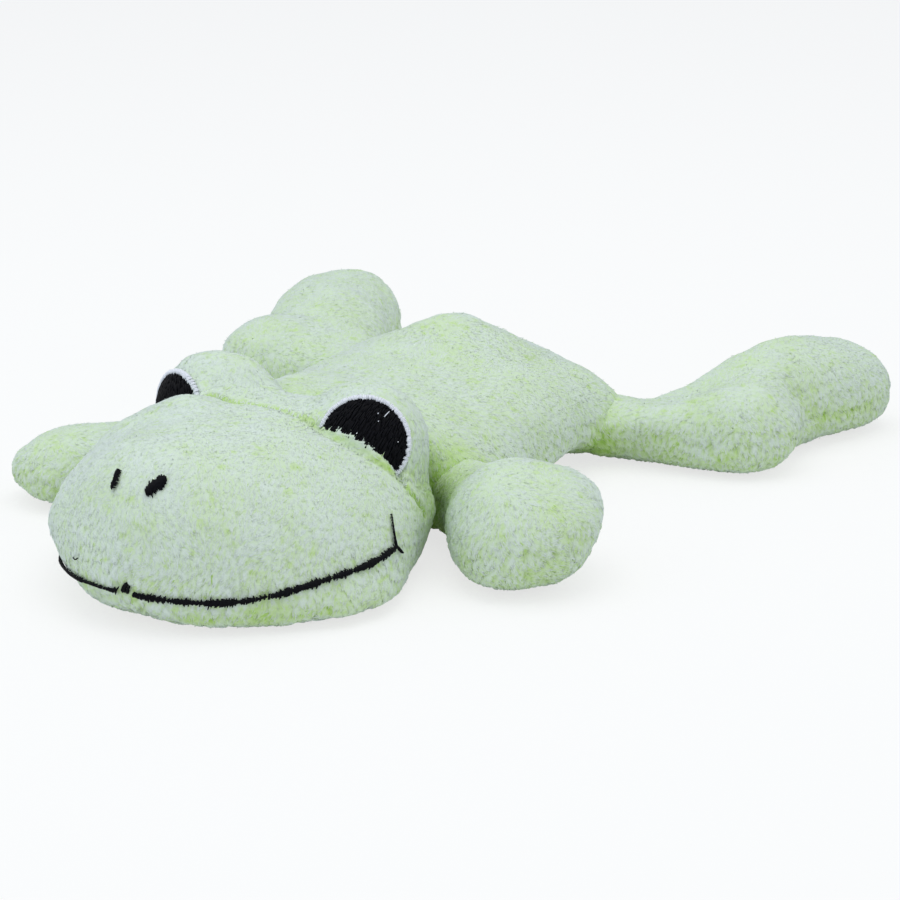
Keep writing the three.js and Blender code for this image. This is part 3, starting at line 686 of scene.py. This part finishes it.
draw = np.random.default_rng(7)
for word, (dome, eye, facing, chord, upward) in eye_frames.items():
    def eye_point(across, high, lift):
        """A place on the dome, across and up from the middle of the eye, and the way out there."""
        way = unit(eye + chord * across + upward * high - dome)
        return dome + way * (dome_radius + lift), way

    fill = []
    for column in np.arange(-pupil_radius + 0.2, pupil_radius - 0.19, 0.42):
        top = math.sqrt(max(pupil_radius ** 2 - column ** 2, 0))
        low = eye_foot(column) - 1.0
        stop = low - draw.uniform(0, 2.5)
        while stop < top:
            reach = stop + draw.uniform(2.2, 3.4)
            a, b = max(stop, low), min(reach, top)
            if b - a > 0.7:
                shift = draw.normal() * 0.12
                start, out = eye_point(column + shift, a - 0.15, 0.15)
                end, _ = eye_point(column + shift + draw.normal() * 0.15, b + 0.15, 0.15)
                middle, _ = eye_point(column + shift, (a + b) / 2, 0.2 + draw.uniform(0.05, 0.15))
                fill.append((start, middle, end, out, draw.uniform(0.26, 0.34)))
            stop = reach
    ground = []
    for height in (0.05, -0.9):
        columns = []
        for across in np.linspace(-pupil_radius, pupil_radius, 36):
            low, top = eye_foot(across) - 1.2, math.sqrt(max((pupil_radius + 0.1) ** 2 - across ** 2, 0.5))
            columns.append([
                eye_point(across, low * (1 - t) + top * t, height)[0] for t in np.linspace(0, 1, 22)])
        ground.append(np.array(columns))
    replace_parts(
        threads("eye_pupil_stitches_" + word, fill, black_satin, ground),
        "eye_pupil_" + word)
    rim = []
    for angle in np.arange(math.radians(-13), math.radians(193), 0.41 / 12.8):
        ray = np.array([math.cos(angle), math.sin(angle)])
        inner, outer = rim_inner + draw.normal() * 0.22, rim_outer + draw.normal() * 0.1
        lean = draw.normal() * 0.012
        ray_out = np.array([math.cos(angle + lean), math.sin(angle + lean)])
        start, out = eye_point(*(ray * inner), 0.5)
        end, _ = eye_point(*(ray_out * outer), 0.1)
        middle, _ = eye_point(*((ray * inner + ray_out * outer) / 2), 0.85 + draw.uniform(0, 0.12))
        rim.append((start, middle, end, out, draw.uniform(0.24, 0.3)))
    if word == "left":
        for across, high, length in (
            (1.1, 8.0, 2.6), (-0.6, 7.7, 0.35), (0.5, 5.9, 0.3), (-2.0, 0.9, 0.35), (7.2, 4.6, 0.25),
        ):
            start, out = eye_point(across, high, 0.7)
            end, _ = eye_point(across + length * 0.15, high + length * 0.99, 0.8)
            rim.append((start, (start + end) / 2 + out * 0.1, end, out, 0.14))
    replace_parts(threads("eye_rim_stitches_" + word, rim, white_satin), "eye_rim_" + word)
    for across in np.linspace(-13.6, 13.6, 28):
        way = eye_point(across, eye_foot(across) - 0.3, 0)[1]
        ridges.append((on_head(dome, way)[0], upward))

# Nostrils: two short bars of black satin stitch on the snout, sewn across their length, close
# together and a little ragged at their sides.
for word, centre, along, half in (
    ("left", (7.0, -136.0), (0.65, 0.76), (2.9, 1.45)),
    ("right", (-6.6, -136.6), (-0.25, 0.97), (2.1, 1.0)),
):
    centre, along = np.array(centre), np.array(along)
    across = np.array([along[1], -along[0]])
    bar = []
    for t in np.arange(-1, 1.001, 0.32 / half[0]):
        wide = half[1] * math.sqrt(max(1 - t ** 4 * 0.75, 0)) + draw.normal() * 0.22
        mid = centre + along * t * half[0]
        (start, out), (end, _), (middle, _) = (
            on_head((*(mid + across * aside * wide), 70), (0, 0, -1), lift)
            for aside, lift in ((-1, 0.7), (1, 0.7), (0, 1.25))
        )
        bar.append((start, middle, end, out, 0.27))
        stitched.extend([start, middle, end])
    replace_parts(threads("nostril_stitches_" + word, bar, black_satin), "nostril_" + word)

# Mouth: one smile of black satin stitch, sewn across its line through both panels after these were
# joined. It stops at the middle seam for a knot in the thread, and its ends turn up in a thin stroke
# with a short tail below. One loose loop hangs out above it.
mouth_centre, stitch_step, half_length = -88, 0.36, 92


def mouth_at(share, rise):
    """A place on the mouth's line, -1 at its right end and 1 at its left, and the way out there."""
    angle = share * math.pi / 2
    way = np.array([math.sin(angle), -math.cos(angle), 0])
    z = 12.2 + 5.2 * share ** 2 - 9 * min(max(-share - 0.33, 0), 0.35) + rise
    z += 0.9 * math.exp(-((share + 0.08) / 0.12) ** 2) - 1.8 * math.exp(-((share - 0.38) / 0.22) ** 2)
    return on_head(np.array([0, mouth_centre, z]) + way * 90, -way)


mouth = []
thin_places = (
    (-1.1, -0.985, 0.6), (-1.1, -0.02, 0.62), (0.002, 0.016, 0), (0.042, 0.06, 0),
    (0.464, 0.476, 0.5), (0.985, 1.1, 0.6),
)
share = -1.0
while share < 1.0:
    knot = 0.016 < share < 0.042
    place, out = mouth_at(share, 1.2 * knot)
    ahead, _ = mouth_at(share + 0.01, 1.2 * knot)
    along = unit(ahead - place)
    wide = 0.9 + 0.13 * math.sin(share * 23) + 0.14 * math.sin(share * 61) + draw.normal() * 0.24
    for low, high, thinner in thin_places:
        if low < share < high:
            wide *= thinner
    if wide > 0.2:
        across = np.cross(out, along)
        slant = along * 0.28
        start = place + (across + slant) * wide + out * 0.75
        end = place - (across + slant) * wide + out * 0.75
        mouth.append((start, place + out * 1.2, end, out, draw.uniform(0.21, 0.31) + 0.22 * knot))
        stitched.extend([start, place + out, end])
    share += stitch_step / half_length
for side in both:
    for low, high, wide in ((0.0, 8.0, 0.55), (-2.8, 0.0, 0.62)):
        for rise in np.arange(low, high, stitch_step):
            bend = 1.0 + (0.03 * (rise / 8) ** 2 if rise > 0 else 0.022 * rise / -2.8)
            place, out = mouth_at(side * bend, rise + 0.2)
            across = np.cross(out, (0, 0, 1))
            width = wide * (1 - 0.45 * max(rise, 0) / 8) + draw.normal() * 0.12
            start = place - across * width + out * 0.75
            end = place + across * width + (0, 0, 0.25) + out * 0.75
            mouth.append((start, place + out * 1.1, end, out, 0.24))
            stitched.extend([start, end])
for share, rise, drop in ((-0.196, 5.9, -0.5), (-0.187, 5.4, 0.1), (-0.178, 5.5, 0.6)):
    (start, out), (end, _) = mouth_at(share, rise), mouth_at(share + 0.011, rise + drop)
    mouth.append((start + out * 0.8, (start + end) / 2 + out * 1.0, end + out * 0.8, out, 0.19))
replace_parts(threads("mouth_stitches", mouth, black_satin), "mouth_stitch")

# Pile: the plush is a knitted ground with about 2 mm of soft polyester pile, cut and tumbled so that
# it stands in small tufts. Its tips are painted whitish and bluish, partly their own paler colour and
# partly a painted sheen where the light catches them. The yellow green of the roots is painted where
# it parts, together with painted shade: at seams, in creases and low on the sides.
pile_plush = new_material("short pile plush")
tree = pile_plush.node_tree
tuft = add_node(tree, "ShaderNodeUVMap", uv_map="OFBake")
along = add_node(tree, "ShaderNodeSeparateXYZ", {0: tuft.outputs[0]})
where = add_node(tree, "ShaderNodeTexCoord")
# Tumbling leaves the pile in patches about 14 mm wide that shade a little differently, 70 to a metre.
patches = add_node(tree, "ShaderNodeTexNoise", {
    "Vector": where.outputs["Object"], "Scale": 70.0, "Detail": 3.0})
# Here and there it has parted for about 3 mm, 300 to a metre, and a darker fleck shows.
flecks = add_node(tree, "ShaderNodeTexNoise", {
    "Vector": where.outputs["Object"], "Scale": 300.0, "Detail": 2.0})
fleck = add_node(tree, "ShaderNodeMapRange", {
    "Value": flecks.outputs[0], "From Min": 0.57, "From Max": 0.72, "To Min": 0.0, "To Max": -0.2})
blend = add_node(tree, "ShaderNodeMath", {0: along.outputs[1], 1: 0.4, 2: -0.04}, operation="MULTIPLY_ADD")
for source, weight in ((along.outputs[0], 0.55), (patches.outputs[0], 0.34)):
    blend = add_node(tree, "ShaderNodeMath", {
        0: source, 1: weight, 2: blend.outputs[0]}, operation="MULTIPLY_ADD")
blend = add_node(tree, "ShaderNodeMath", {0: blend.outputs[0], 1: fleck.outputs[0]}, operation="ADD")
# Its colours run from the yellow green of the roots to the whitish blue of the tips, which is
# partly painted sheen.
ramp = add_node(tree, "ShaderNodeValToRGB", {0: blend.outputs[0]})
stops = ramp.color_ramp.elements
stops[0].position, stops[0].color = 0.0, linear("#86b83c")
stops[1].position, stops[1].color = 1.0, linear("#dfeae3")
for at, code in ((0.28, "#aed36a"), (0.5, "#c6df9f"), (0.7, "#d1e3c2"), (0.82, "#d7e4d5")):
    stops.new(at).color = linear(code)
# The fibres, 0.02 mm thick, are too fine to show. They are drawn 0.7 mm apart, 1500 to a metre.
fibres = add_node(tree, "ShaderNodeTexNoise", {
    "Vector": where.outputs["Object"], "Scale": 1500.0, "Detail": 2.0})
bump = add_node(tree, "ShaderNodeBump", {
    "Strength": 0.35, "Distance": 0.0003, "Height": fibres.outputs[0]})
# Cut pile is matt, with a faint cool sheen where it is seen edge on.
shader = add_node(tree, "ShaderNodeBsdfPrincipled", {
    "Base Color": ramp.outputs[0], "Roughness": 0.9, "Specular IOR Level": 0.15, "Normal": bump.outputs[0],
    "Sheen Weight": 0.3, "Sheen Roughness": 0.5, "Sheen Tint": linear("#eaf2ff")})
add_node(tree, "ShaderNodeOutputMaterial", {"Surface": shader.outputs[0]})


def nearness(points, targets, reach):
    """How near points are to the nearest of some others: 1 on one, 0 beyond reach."""
    return np.clip(1 - how_far(points, targets) / reach, 0, 1)


def green_and_painted_shade(word, points, out):
    """How much greener and darker the pile is painted, from 0 to 1: painted shade low on the sides
    and in the creases where one form is sewn to the next, and the roots' green together with painted
    shade along the seams and folds listed for the form."""
    # Painted shade low on the sides, where less light reaches.
    shade = 0.12 * np.clip(1 - points[:, 2] / 22, 0, 1) * np.clip(1 - out[:, 2], 0, 1)
    crease = 11
    for other, (low, high, tree) in skin_trees.items():
        if other != word:
            close = np.all((points > low - crease) & (points < high + crease), axis=1)
            # Painted shade in the creases near the other forms, less of it high up.
            for index in np.nonzero(close)[0]:
                far = tree.find(points[index])[2]
                less_high_up = min(max(1.25 - points[index][2] / 20, 0.15), 1)
                shade[index] += 0.5 * max(1 - far / crease, 0) ** 2 * less_high_up
    for line, green, reach in parted_with_painted_shade.get(word, ()):
        shade += green * nearness(points, line, reach)
    return np.minimum(shade, 1)


def in_locks(word, skin, draw, seed):
    """Draws a skin up into locks of pile, one for each cell of a grid drawn out the way they lie. It
    rises under each lock and sinks between them, more on the sides than on top. Gives its points,
    the normals they had, the middles of their locks and how much darker the pile is painted where it
    parts: the roots' green together with painted shade between the locks, and painted light on their
    middles, both more on the sides."""
    lock_size = 2.1
    co, normal = places(skin)
    mixed = draw.permutation(len(co))
    drawn_out = co * (1, 0.75, 0.5)
    cells = np.floor(drawn_out[mixed] / lock_size).astype(np.int64)
    kept = mixed[np.unique(cells, axis=0, return_index=True)[1]]
    locks = tree_of(drawn_out[kept])
    nearest = [locks.find_n(point, 2) for point in drawn_out]
    far, next_far = (np.array([pair[k][2] for pair in nearest]) for k in (0, 1))
    lock_of = kept[[pair[0][1] for pair in nearest]]
    border = np.clip(1 - (next_far - far) / 0.75, 0, 1)
    lock_middle = co[lock_of]
    side_on = np.clip(1.15 - normal[:, 2], 0, 1) * np.clip(1.4 - co[:, 2] / 30, 0, 1)
    if word == "head":
        side_on *= 0.75
    relief = (0.4 - (far / 1.7) ** 2) * (0.14 + 0.7 * side_on) - border * (0.05 + 0.28 * side_on)
    co += normal * (relief + waves(co, 9, seed, 1) * 0.15)[:, None]
    moved(skin, co)
    # Painted shade between the locks and painted light on their middles, more on the sides.
    return co, normal, lock_middle, border * (0.1 + 0.28 * side_on) - 0.1 * side_on


def scattered(co, normal, tri, lock_middle, parting_and_painted_shade, draw):
    """Roots scattered evenly over the skin's area and thinned to one in each small cell: their
    places, their ways out, the middles of their locks and how far the pile parts there, with its
    painted shade."""
    spacing = 0.86
    a, b, c = (co[tri[:, k]] for k in range(3))
    area = np.linalg.norm(np.cross(b - a, c - a), axis=1) / 2
    count = int(area.sum() / spacing ** 2 * 2.4)
    pick = draw.choice(len(tri), count, p=area / area.sum())
    u, v = draw.random(count), draw.random(count)
    over = u + v > 1
    u[over], v[over] = 1 - u[over], 1 - v[over]
    shares = np.stack([1 - u - v, u, v], axis=1)[:, :, None]
    root = (co[tri[pick]] * shares).sum(axis=1)
    lock_gap_and_painted_shade = (parting_and_painted_shade[tri[pick]] * shares[:, :, 0]).sum(axis=1)
    out = unit((normal[tri[pick]] * shares).sum(axis=1))
    cells = np.floor(root / spacing).astype(np.int64)
    first = np.unique(cells, axis=0, return_index=True)[1]
    return root[first], out[first], lock_middle[tri[pick[first], 0]], lock_gap_and_painted_shade[first]


def combed(word, root, out, lock, lock_gap_and_painted_shade, draw):
    """The roots that stay, their ways out and their locks, with how long the pile is there, how pale
    it is painted, darker with painted shade in creases, at seams and between locks, and the way it
    lies: down the slopes, back a little on the flat, forward on the muzzle."""
    stay = ~((root[:, 2] < 1.5) & (out[:, 2] < -0.8) & (draw.random(len(root)) < 0.7))
    tall = np.ones(len(root))
    stroke, first_wave = ((0, -0.45, -0.6), 8) if word == "head" else ((0, 0.3, -0.7), 5)
    swirl = [waves(root, 24, first_wave + k) for k in range(3)]
    way = np.array(stroke) + 0.4 * np.stack(swirl, axis=1)
    if word == "head":
        sewn = nearness(root, stitched, 3.0)
        stay &= sewn < 0.72
        tall *= 1 - 0.55 * sewn
        for eye_frame in eye_frames.values():
            across, high, front, far = from_eye(root, eye_frame)
            on_eye = (front > 5) & (far < dome_radius + 0.3) & (np.hypot(across, high) < eye_clear)
            stay &= ~(on_eye & (high > eye_foot(across) - 0.2))
        on_ridge = nearness(root, [place for place, _ in ridges], 2.6)
        toward = np.where(root[:, :1] > 0, ridges[0][1], ridges[-1][1])
        tall *= 1 + 0.25 * on_ridge
        way = way * (1 - on_ridge[:, None]) + toward * on_ridge[:, None] * 1.1
    crease = green_and_painted_shade(word, root, out)
    tall *= 1 - 0.25 * np.clip(crease, 0, 1)
    return [values[stay] for values in (root, out, lock, tall, -(crease + lock_gap_and_painted_shade), way)]


def strands(surface, root, out, lock, tall, way, draw):
    """A low ridge along the skin from each root, pulled towards its lock's middle, as seven points
    and their normals: three at the root, three halfway and the tip. A few strands stand up."""
    length, count = 2.6, len(root)

    def settled(points, rise):
        """The points laid on the skin and raised off it."""
        found = [surface.find_nearest(point) for point in points]
        place, face = (np.array([hit[k] for hit in found]) for k in (0, 1))
        return place + face * rise

    way = way + draw.normal(size=(count, 3)) * 0.16
    way = unit(way - out * (way * out).sum(axis=1, keepdims=True), 0.3)
    tall = (tall * length * draw.uniform(0.7, 1.15, count))[:, None]
    pull = np.clip(lock - root, -1.5, 1.5) * 0.42
    stray = draw.random((count, 1)) < 0.02
    rise = np.where(stray, tall * 0.24, 0.10) * draw.uniform(0.6, 1.4, (count, 1))
    thick = np.where(stray, 0.12, draw.uniform(0.18, 0.32, (count, 1)))
    tip = settled(root + way * tall * np.where(stray, 0.7, 0.92) + pull, rise)
    middle = settled(root + way * tall * 0.42 + pull * 0.4, np.where(stray, rise * 0.5, 0.0))
    side = unit(np.cross(out, way), 1e-6)
    points, normals = [], []
    for centre, wide, high, slope in ((root - out * 0.2, 0.8, 0.14, -0.2), (middle, 1.0, 0.16, 0.0)):
        for aside in (-1, 1):
            points.append(centre + (side * aside * thick * wide - out * 0.05))
            normals.append(out + side * aside * 0.12 + way * slope)
        points.append(centre + out * np.where(stray, 0.12, high))
        normals.append(out + way * slope)
    points.append(tip)
    normals.append(out + way * 0.2)
    points, normals = np.stack(points, axis=1), unit(np.stack(normals, axis=1))
    points[:, :, 2] = np.maximum(points[:, :, 2], 0.05)
    return points, normals


def grow_pile(word, skin, seed):
    """Joins strands of pile to a skin. Their UV map OFBake runs from the green of the roots to the
    tips along v, and u is their shade."""
    draw = np.random.default_rng(seed)
    mesh = skin.data
    mesh.calc_loop_triangles()
    tri = np.empty(len(mesh.loop_triangles) * 3, np.int32)
    mesh.loop_triangles.foreach_get("vertices", tri)
    corners = np.empty(len(mesh.polygons) * 4, np.int32)
    mesh.loops.foreach_get("vertex_index", corners)
    co, normal, lock_middle, parting_and_painted_shade = in_locks(word, skin, draw, seed)
    surface = BVHTree.FromPolygons(co.tolist(), corners.reshape(-1, 4).tolist())
    roots = scattered(co, normal, tri.reshape(-1, 3), lock_middle, parting_and_painted_shade, draw)
    root, out, lock, tall, shade, way = combed(word, *roots, draw)
    points, normals = strands(surface, root, out, lock, tall, way, draw)

    # Each strand has three long sides from the root to halfway and three that meet in the tip.
    loops = np.array([0, 1, 4, 3, 1, 2, 5, 4, 2, 0, 3, 5, 3, 4, 6, 4, 5, 6, 5, 3, 6])
    side_starts = np.array([0, 4, 8, 12, 15, 18])
    count, points_each = points.shape[:2]
    strand = np.arange(count)[:, None]
    corner = (strand * points_each + loops).ravel().astype(np.int32)
    starts = (strand * len(loops) + side_starts).ravel().astype(np.int32)
    pile = bpy.data.meshes.new(skin.name + " pile")
    pile.vertices.add(count * points_each)
    pile.loops.add(len(corner))
    pile.polygons.add(len(starts))
    pile.vertices.foreach_set("co", (points / 1000).astype(np.float32).ravel())
    pile.loops.foreach_set("vertex_index", corner)
    pile.polygons.foreach_set("loop_start", starts)
    pile.update(calc_edges=True)

    # The strands are shaded one by one, and the ground between them by how far the pile parts, both
    # with painted shade in creases, at seams, low down and between locks.
    green_to_tip = np.array([0.35, 0.35, 0.6, 0.5, 0.5, 0.95, 1.0])
    uneven = draw.normal(size=count) * 0.07 - 0.35 * (draw.random(count) < 0.03)
    shade = np.clip(0.72 + paler_and_painted_light[word] + shade + uneven, 0.01, 0.99)
    tips = np.clip(0.3 + shade, 0.3, 1)
    shown = (shade[:, None] * np.ones(len(loops)), tips[:, None] * green_to_tip[loops])
    uv = np.stack(shown, axis=2).reshape(-1, 2)
    pile.uv_layers.new(name="OFBake").data.foreach_set("uv", uv.astype(np.float32).ravel())
    flat = mesh.uv_layers.new(name="OFBake")
    ground = np.clip(0.62 + paler_and_painted_light[word] - parting_and_painted_shade - green_and_painted_shade(word, co, normal), 0.02, 1)[corners]
    flat.data.foreach_set("uv", np.stack([ground, ground], axis=1).astype(np.float32).ravel())
    chosen(skin, placed(pile.name, pile))
    bpy.ops.object.join()
    bpy.ops.object.shade_smooth()
    every = np.vstack([normal, normals.reshape(-1, 3)])
    skin.data.normals_split_custom_set_from_vertices(every.tolist())
    skin.data.materials.append(pile_plush)


# How much paler the pile of each form is painted: a little for all, and more on the head as painted
# light. Also each skin's box with a tree of its points.
paler_and_painted_light = dict.fromkeys(skins, 0.02) | {"body": 0.01, "head": 0.07}
skin_trees = {}
for word, skin in skins.items():
    co, _ = places(skin)
    skin_trees[word] = (co.min(axis=0), co.max(axis=0), tree_of(co[::2]))


def joined(piece, word):
    """The body's piece goes with the body; any other has its placing baked into its points."""
    if word == "body":
        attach(piece, "body")
    elif word == "head":
        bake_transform(piece)
    elif word.startswith("arm"):
        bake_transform(piece)
    else:
        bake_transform(piece)


cores = {}
for seed, (word, skin) in enumerate(skins.items()):
    chosen(skin)
    bpy.ops.object.duplicate()
    core = bpy.context.object
    core.name = word.replace("_", "_wadding_") if "_" in word else word + "_wadding"
    remeshed(core, "even wadding", 3.5)
    co, normal = places(core)
    co -= normal * (3.4 + 0.5 * waves(co, 9, seed + 70))[:, None]
    moved(core, co, floor_gap=2.5)
    cores[word] = core
    grow_pile(word, skin, seed=21 + seed)
    limb, _, side = word.partition("_")
    if word == "body":
        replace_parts(skin, "body_back_panel", "body_belly_panel")
    elif word == "head":
        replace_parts(skin, "head_crown_panel", "head_muzzle_panel", "head_chin_panel")
    else:
        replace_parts(skin, limb + "_top_panel_" + side, limb + "_under_panel_" + side)
    joined(skin, word)

# Filling: loose polyester wadding stuffed into each form, a few millimetres inside its skin, and
# plastic beads sewn into bags of woven cotton in the belly, hands and feet. The bags keep the shape
# they have in the construction, and the beads inside press through their cloth.
wadding = new_material("polyester wadding")
tree = wadding.node_tree
# Carded fibre is matt and white, painted a little grey between its curls as painted shade. Single
# fibres are too fine to show, so curls of 1.1 mm are drawn, 900 to a metre.
where = add_node(tree, "ShaderNodeTexCoord")
curls = add_node(tree, "ShaderNodeTexNoise", {
    "Vector": where.outputs["Object"], "Scale": 900.0, "Detail": 4.0, "Distortion": 2.0})
ramp = add_node(tree, "ShaderNodeValToRGB", {0: curls.outputs[0]})
for stop, at, colour in zip(ramp.color_ramp.elements, (0.35, 0.65), ("#dcdedd", "#f6f7f6")):
    stop.position, stop.color = at, linear(colour)
bump = add_node(tree, "ShaderNodeBump", {
    "Strength": 0.6, "Distance": 0.0008, "Height": curls.outputs[0]})
shader = add_node(tree, "ShaderNodeBsdfPrincipled", {
    "Base Color": ramp.outputs[0], "Roughness": 0.95, "Specular IOR Level": 0.1, "Normal": bump.outputs[0]})
add_node(tree, "ShaderNodeOutputMaterial", {"Surface": shader.outputs[0]})

bag_cloth = new_material("cotton bead bag")
tree = bag_cloth.node_tree
# Unbleached woven cotton is matt and off-white. Its beads of 3 mm, 330 to a metre, press through it.
where = add_node(tree, "ShaderNodeTexCoord")
beads = add_node(tree, "ShaderNodeTexVoronoi", {"Vector": where.outputs["Object"], "Scale": 330.0})
bump = add_node(tree, "ShaderNodeBump", {
    "Strength": 0.7, "Distance": 0.001, "Height": beads.outputs[0]})
shader = add_node(tree, "ShaderNodeBsdfPrincipled", {
    "Base Color": linear("#e9e6dc"), "Roughness": 0.9, "Specular IOR Level": 0.2, "Normal": bump.outputs[0]})
add_node(tree, "ShaderNodeOutputMaterial", {"Surface": shader.outputs[0]})

for word, core in cores.items():
    core.data.materials.append(wadding)
    limb, _, side = word.partition("_")
    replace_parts(core, limb + "_stuffing" + ("_" + side if side else ""))
    joined(core, word)
for name in (
    "belly_pellet_bag", "hand_pellet_bag_left", "hand_pellet_bag_right",
    "foot_pellet_bag_left", "foot_pellet_bag_right",
):
    node = bpy.data.objects[name]
    node.data.materials.clear()
    node.data.materials.append(bag_cloth)
